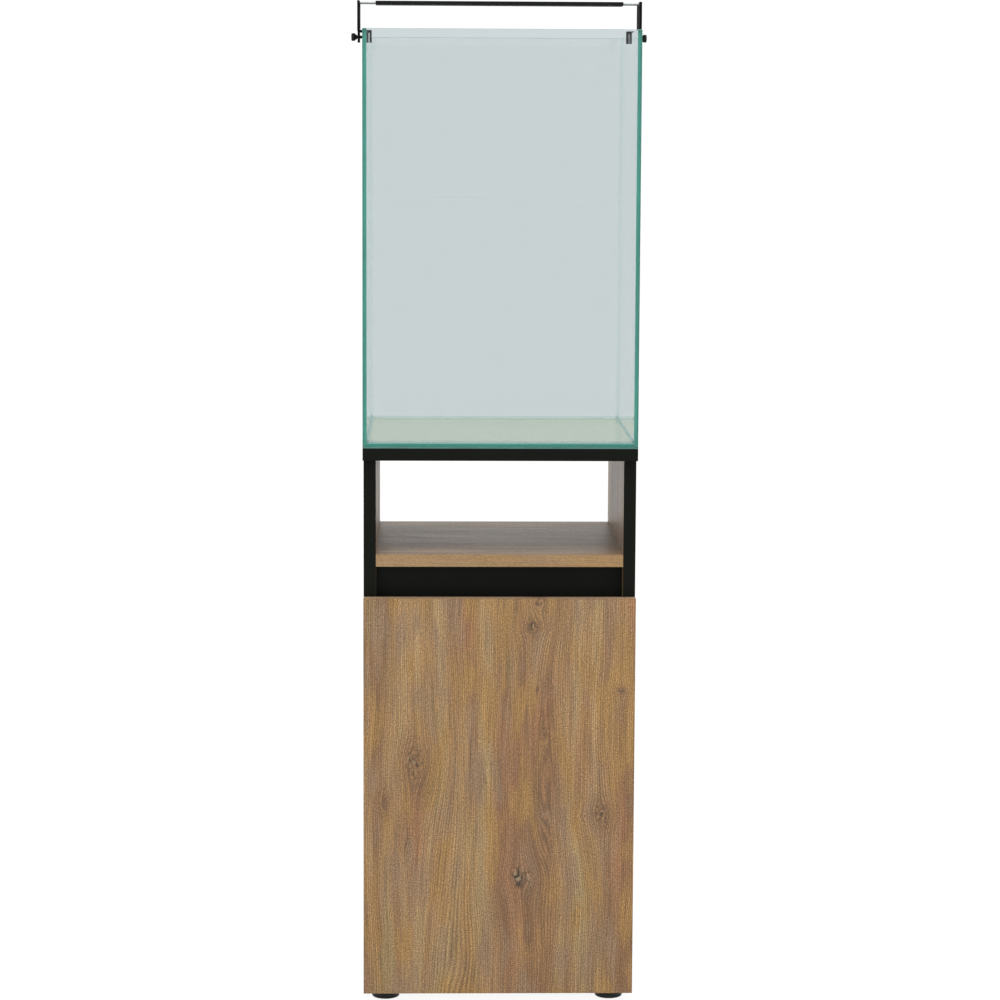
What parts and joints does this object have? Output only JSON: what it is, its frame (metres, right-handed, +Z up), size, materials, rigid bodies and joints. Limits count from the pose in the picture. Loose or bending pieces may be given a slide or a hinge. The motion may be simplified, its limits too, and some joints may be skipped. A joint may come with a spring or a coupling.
{
  "type": "aquarium cabinet",
  "caption": "Tall narrow cabinet with an open niche, a handle-less oak door and round feet, carrying a rimless glass tank with a slim clip-on light bar.",
  "frame": {"origin": "on the floor, under the middle of the tank", "axes": "+X to the right seen from the front, -Y towards the front (the door's face), +Z up"},
  "size_m": [0.441, 0.4, 1.4785],
  "materials": {
    "black_board": "satin black melamine on particle board",
    "oak_board": "oak decor melamine",
    "back_board": "thin board, oak decor",
    "oak_door": "knotty oak decor, matt",
    "steel": "zinc plated",
    "hinge_nickel": "nickel plated",
    "dowel_wood": "beech, plain",
    "foot_plastic": "black, moulded",
    "bumper_clear": "clear, soft",
    "foam": "closed cell foam, grey",
    "tank_glass": "clear float glass with green edges, polished",
    "silicone": "clear silicone",
    "hanger_black": "black, satin",
    "rod_steel": "drawn, satin",
    "lamp_black": "black anodised, satin",
    "diffuser": "opal",
    "led_board": "white board",
    "knob_plastic": "black, moulded",
    "pad_rubber": "black, soft"
  },
  "bodies": {
    "root": {"side_panel_left": "black_board", "side_panel_right": "black_board", "top_board": "black_board", "grip_rail": "black_board", "niche_shelf": "oak_board", "bottom_board": "oak_board", "inner_shelf": "oak_board", "back_panel": "back_board", "shelf_pins": "steel", "dowels": "dowel_wood", "cam_locks": "steel", "cam_bolts": "steel", "foot_inserts": "steel", "hinge_arm_upper": "hinge_nickel", "hinge_arm_lower": "hinge_nickel", "hinge_plate_upper": "hinge_nickel", "hinge_plate_lower": "hinge_nickel", "hinge_plate_screws": "steel", "hinge_arm_screws": "steel", "hinge_arm_pins": "steel", "foam_mat": "foam", "pane_front": "tank_glass", "pane_back": "tank_glass", "pane_left": "tank_glass", "pane_right": "tank_glass", "pane_bottom": "tank_glass", "silicone_seams": "silicone"},
    "foot_front_left": {"foot_front_left": "foot_plastic"},
    "foot_front_right": {"foot_front_right": "foot_plastic"},
    "foot_back_left": {"foot_back_left": "foot_plastic"},
    "foot_back_right": {"foot_back_right": "foot_plastic"},
    "hinge_outer": {"outer_links_upper": "hinge_nickel", "outer_links_lower": "hinge_nickel"},
    "hinge_inner": {"inner_link_upper": "hinge_nickel", "inner_link_lower": "hinge_nickel"},
    "door": {"door_panel": "oak_door", "door_bumpers": "bumper_clear", "hinge_cup_upper": "hinge_nickel", "hinge_cup_lower": "hinge_nickel", "hinge_cup_screws": "steel", "hinge_cup_pins": "steel"},
    "lamp_carriage": {"hanger_left": "hanger_black", "hanger_right": "hanger_black", "rods_left": "rod_steel", "rods_right": "rod_steel"},
    "lamp": {"lamp_housing": "lamp_black", "lamp_diffuser": "diffuser", "led_board": "led_board", "end_cap_left": "lamp_black", "end_cap_right": "lamp_black", "lamp_inlet": "steel"},
    "pad_left": {"screw_pad_left": "pad_rubber"},
    "pad_right": {"screw_pad_right": "pad_rubber"},
    "screw_left": {"thumb_screw_left": "knob_plastic"},
    "screw_right": {"thumb_screw_right": "knob_plastic"}
  },
  "joints": [
    {"name": "link_swing", "type": "hinge", "parent": "root", "child": "hinge_outer", "pos_m": [-0.1659, -0.1603, 0.314], "axis": [0, 0, 1], "range_deg": [0, 28.6]},
    {"name": "door_swing", "type": "hinge", "parent": "hinge_outer", "child": "door", "pos_m": [-0.1892, -0.1847, 0.314], "axis": [0, 0, 1], "range_deg": [-123.5, 0]},
    {"name": "inner_link_swing", "type": "hinge", "parent": "root", "child": "hinge_inner", "pos_m": [-0.165, -0.1899, 0.314], "axis": [0, 0, 1], "range_deg": [0, 38.1]},
    {"name": "level_front_left", "type": "slide", "parent": "root", "child": "foot_front_left", "axis": [0, 0, -1], "range_m": [0, 0.01]},
    {"name": "level_front_right", "type": "slide", "parent": "root", "child": "foot_front_right", "axis": [0, 0, -1], "range_m": [0, 0.01]},
    {"name": "level_back_left", "type": "slide", "parent": "root", "child": "foot_back_left", "axis": [0, 0, -1], "range_m": [0, 0.01]},
    {"name": "level_back_right", "type": "slide", "parent": "root", "child": "foot_back_right", "axis": [0, 0, -1], "range_m": [0, 0.01]},
    {"name": "carriage_slide", "type": "slide", "parent": "root", "child": "lamp_carriage", "axis": [0, 1, 0], "range_m": [-0.15, 0.15]},
    {"name": "lamp_shift", "type": "slide", "parent": "lamp_carriage", "child": "lamp", "axis": [1, 0, 0], "range_m": [-0.018, 0.018]},
    {"name": "pad_slide_left", "type": "slide", "parent": "lamp_carriage", "child": "pad_left", "axis": [-1, 0, 0], "range_m": [0, 0.0024]},
    {"name": "screw_turn_left", "type": "hinge", "parent": "pad_left", "child": "screw_left", "pos_m": [-0.2165, 0, 1.4255], "axis": [-1, 0, 0], "range_deg": [0, 1085]},
    {"name": "pad_slide_right", "type": "slide", "parent": "lamp_carriage", "child": "pad_right", "axis": [1, 0, 0], "range_m": [0, 0.0024]},
    {"name": "screw_turn_right", "type": "hinge", "parent": "pad_right", "child": "screw_right", "pos_m": [0.2165, 0, 1.4255], "axis": [1, 0, 0], "range_deg": [0, 1085]}
  ],
  "couplings": [
    {"joint": "link_swing", "follows": "door_swing", "ratio": -0.23077},
    {"joint": "inner_link_swing", "follows": "door_swing", "ratio": -0.30769},
    {"joint": "screw_turn_left", "follows": "pad_slide_left", "rad_per_m": 7854},
    {"joint": "screw_turn_right", "follows": "pad_slide_right", "rad_per_m": 7854}
  ]
}
